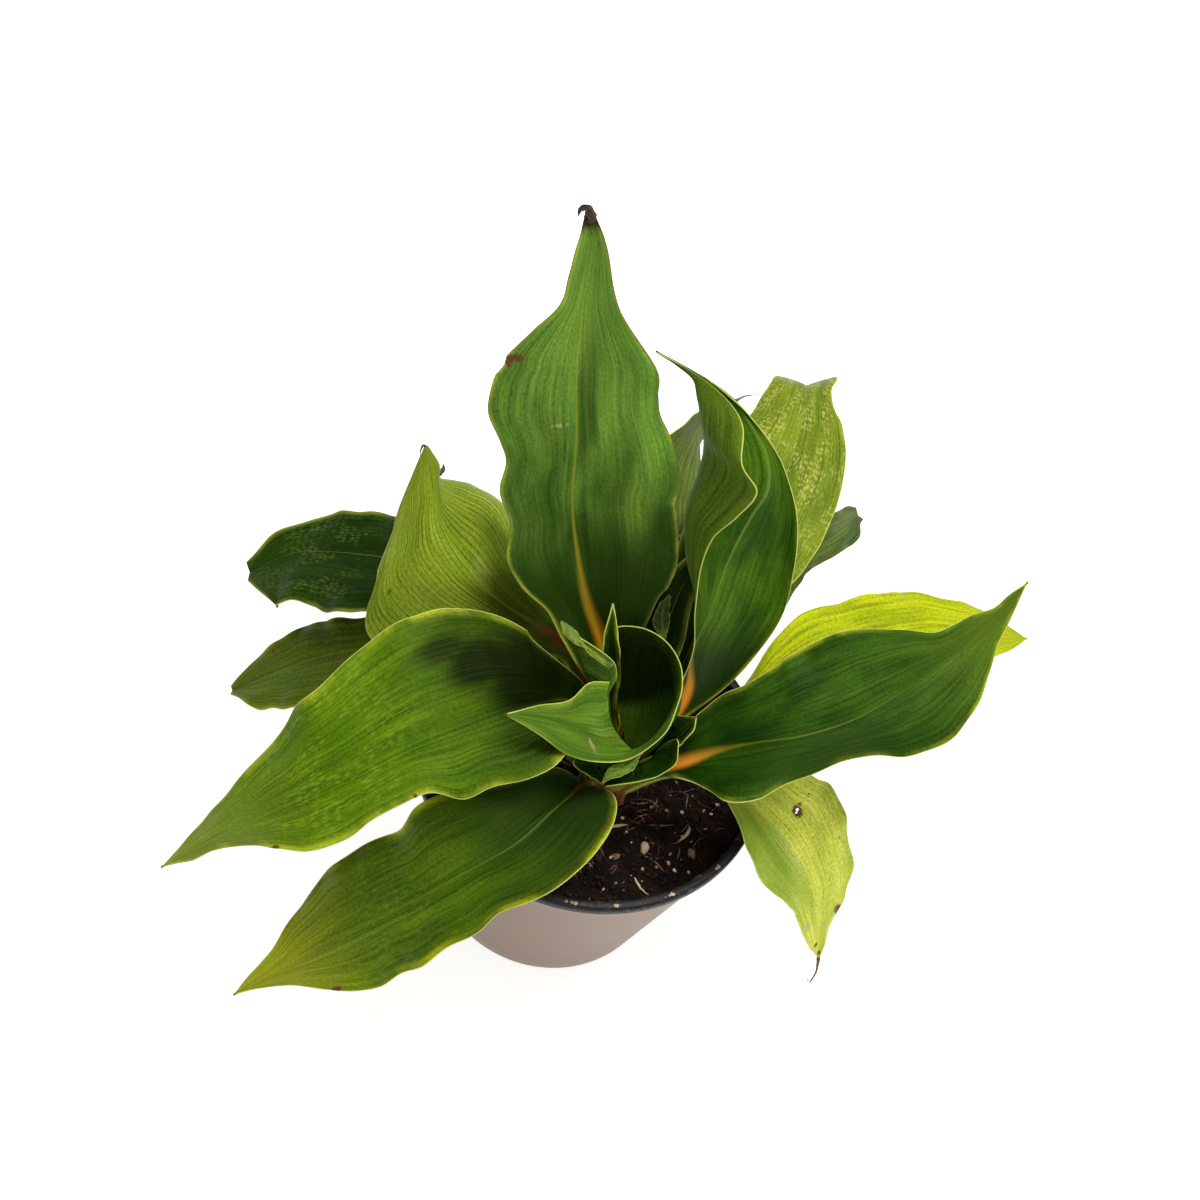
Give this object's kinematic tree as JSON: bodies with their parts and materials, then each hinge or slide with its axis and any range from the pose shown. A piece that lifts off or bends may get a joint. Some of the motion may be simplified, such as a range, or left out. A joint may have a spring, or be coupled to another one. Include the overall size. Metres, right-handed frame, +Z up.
{
  "type": "potted spider plant",
  "caption": "Broad-leaved spider plant with a rosette of arching wavy leaves and a rolled young leaf, growing in a plain round tapered nursery pot.",
  "frame": {"origin": "centre of the pot's flat underside, on the surface that the pot stands on", "axes": "+Z up along the pot's axis; -Y towards the side of the soil that the leaves leave open"},
  "size_m": [0.278, 0.2698, 0.2582],
  "materials": {
    "pot": "satin injection-moulded plastic, taupe wall with a black lip and inside",
    "soil": "rough dark peat with fibres and crumbs",
    "crown": "fleshy, orange to dark red-brown",
    "leaf_deep": "glossy deep green leaf with parallel veins and a pale margin",
    "leaf_bright": "glossy light green leaf with parallel veins and a pale margin",
    "leaf_yellowing": "older leaf, yellow-green",
    "leaf_shaded": "duller grey-green lower leaf"
  },
  "bodies": {
    "root": {"pot": "pot", "soil": "soil", "crown": "crown", "leaf_back_upright": "leaf_deep", "leaf_back_inner": "leaf_deep", "leaf_back_small": "leaf_deep", "leaf_far_right": "leaf_yellowing", "leaf_far_right_low": "leaf_shaded", "leaf_far_middle": "leaf_shaded", "leaf_left_large": "leaf_deep", "leaf_front_left": "leaf_deep", "leaf_right_large": "leaf_deep", "leaf_right_under": "leaf_yellowing", "leaf_right_drooping": "leaf_yellowing", "leaf_left_outer": "leaf_shaded", "leaf_left_low": "leaf_shaded", "leaf_young_spear": "leaf_bright", "leaf_young_right": "leaf_bright", "leaf_back_rolled": "leaf_bright", "leaf_left_twisted": "leaf_bright", "leaf_young_cup": "leaf_bright", "leaf_young_front": "leaf_bright"}
  },
  "joints": []
}
